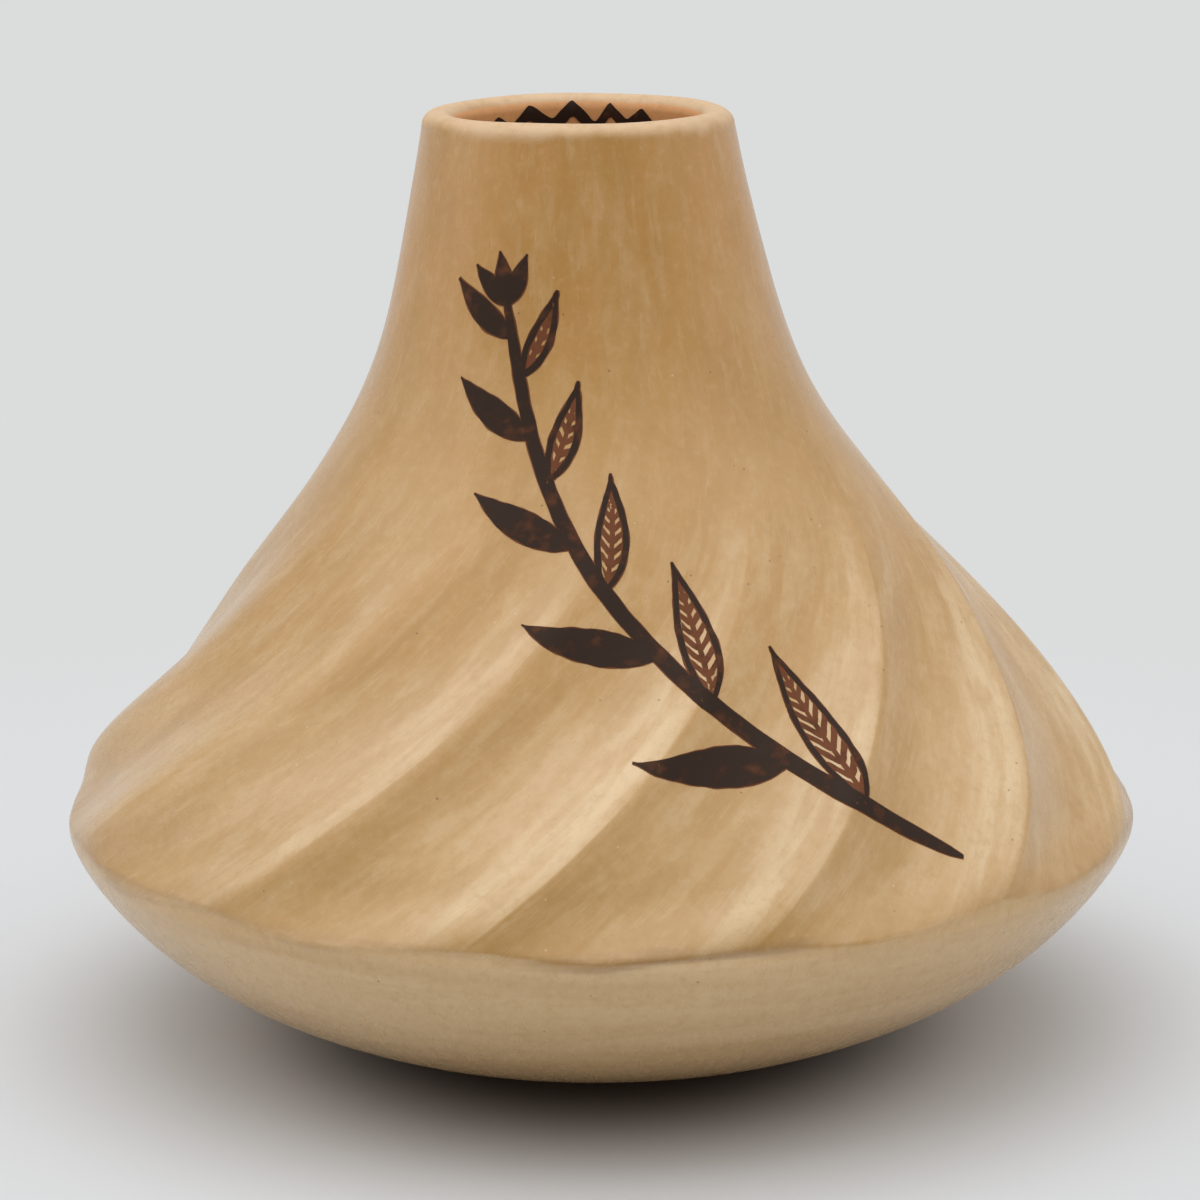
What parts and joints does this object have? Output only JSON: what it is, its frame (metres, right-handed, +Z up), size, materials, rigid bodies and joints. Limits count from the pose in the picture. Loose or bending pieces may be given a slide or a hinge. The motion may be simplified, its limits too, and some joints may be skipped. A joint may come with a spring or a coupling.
{
  "type": "pottery jar",
  "caption": "Coiled pottery jar with a flat foot, a shallow bowl, a wide edge, a swirl-ribbed shoulder and a tapering open neck.",
  "frame": {"origin": "centre of the flat foot that the jar rests on", "axes": "+Z up through the mouth, -Y towards the front with the painted branch, +X to the right seen from the front"},
  "size_m": [0.1799, 0.18, 0.155],
  "materials": {
    "clay": "tan slip, rubbed by hand to a soft sheen",
    "paint": "dark brown mineral paint, fired on, matt"
  },
  "bodies": {
    "root": {"base_disc": "clay", "bowl_course_1": "clay", "bowl_course_2": "clay", "edge_course": "clay", "shoulder_course_1": "clay", "shoulder_course_2": "clay", "shoulder_course_3": "clay", "shoulder_course_4": "clay", "shoulder_course_5": "clay", "neck_course_1": "clay", "neck_course_2": "clay", "neck_course_3": "clay", "rim_course": "clay", "neck_zigzag": "paint", "painted_branch": "paint"}
  },
  "joints": []
}
